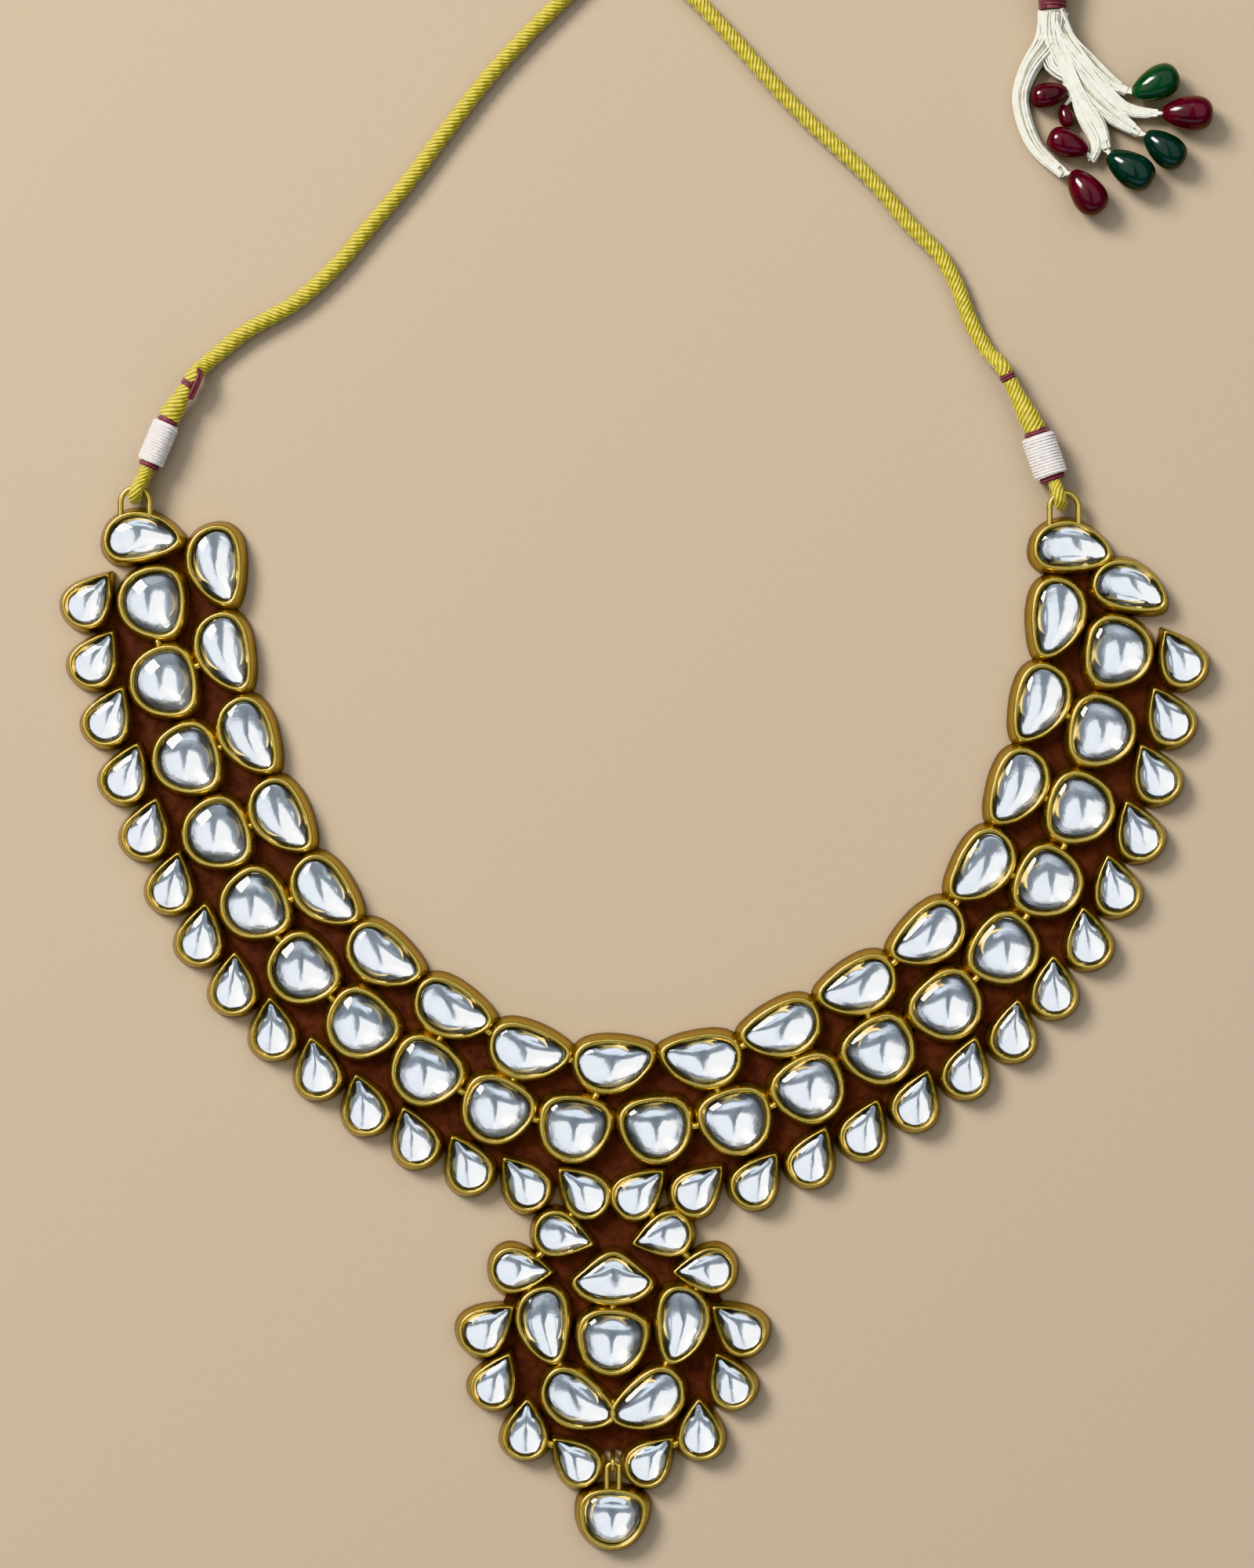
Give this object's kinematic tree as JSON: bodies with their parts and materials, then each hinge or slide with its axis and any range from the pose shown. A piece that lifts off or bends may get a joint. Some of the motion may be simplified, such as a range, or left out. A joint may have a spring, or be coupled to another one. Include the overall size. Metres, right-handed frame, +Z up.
{
  "type": "kundan necklace",
  "caption": "Bib necklace of gold settings with foiled glass stones in rows, a leaf pendant with a hanging drop, and a silk tie cord with a slider and a beaded tassel.",
  "frame": {"origin": "flat back of the inner row's middle setting, at the front of the neck opening, on the surface the necklace lies on", "axes": "+X towards the wearer's left along the bib's width, +Y from the pendant up to the neck opening's end, +Z up out of the stones, as the necklace lies face up"},
  "size_m": [0.1905, 0.2991, 0.0071],
  "materials": {
    "gold": "polished gold plate",
    "stone": "clear cut glass over silver foil",
    "dori_silk": "twisted silk cord",
    "white_thread": "thread whipping",
    "maroon_thread": "wound silk thread",
    "cream_thread": "loose silk thread",
    "red_glass": "polished glass",
    "green_glass": "polished glass"
  },
  "bodies": {
    "root": {"gold_frame": "gold", "drop_setting": "gold", "inner_stone_01": "stone", "inner_stone_02": "stone", "inner_stone_03": "stone", "inner_stone_04": "stone", "inner_stone_05": "stone", "inner_stone_06": "stone", "inner_stone_07": "stone", "inner_stone_08": "stone", "inner_stone_09": "stone", "inner_stone_10": "stone", "inner_stone_11": "stone", "inner_stone_12": "stone", "inner_stone_13": "stone", "inner_stone_14": "stone", "inner_stone_15": "stone", "inner_stone_16": "stone", "inner_stone_17": "stone", "inner_stone_18": "stone", "inner_stone_19": "stone", "inner_stone_20": "stone", "middle_stone_01": "stone", "middle_stone_02": "stone", "middle_stone_03": "stone", "middle_stone_04": "stone", "middle_stone_05": "stone", "middle_stone_06": "stone", "middle_stone_07": "stone", "middle_stone_08": "stone", "middle_stone_09": "stone", "middle_stone_10": "stone", "middle_stone_11": "stone", "middle_stone_12": "stone", "middle_stone_13": "stone", "middle_stone_14": "stone", "middle_stone_15": "stone", "middle_stone_16": "stone", "middle_stone_17": "stone", "middle_stone_18": "stone", "middle_stone_19": "stone", "middle_stone_20": "stone", "outer_stones": "stone", "pendant_stones": "stone", "drop_stone": "stone", "left_splice": "dori_silk", "right_splice": "dori_silk", "left_whipping": "white_thread", "right_whipping": "white_thread", "left_ties": "maroon_thread", "right_ties": "maroon_thread", "cord_left": "dori_silk", "cord_right": "dori_silk", "slider": "maroon_thread", "tassel_neck": "maroon_thread", "tassel_skirt": "cream_thread", "red_beads": "red_glass", "green_beads": "green_glass"}
  },
  "joints": []
}
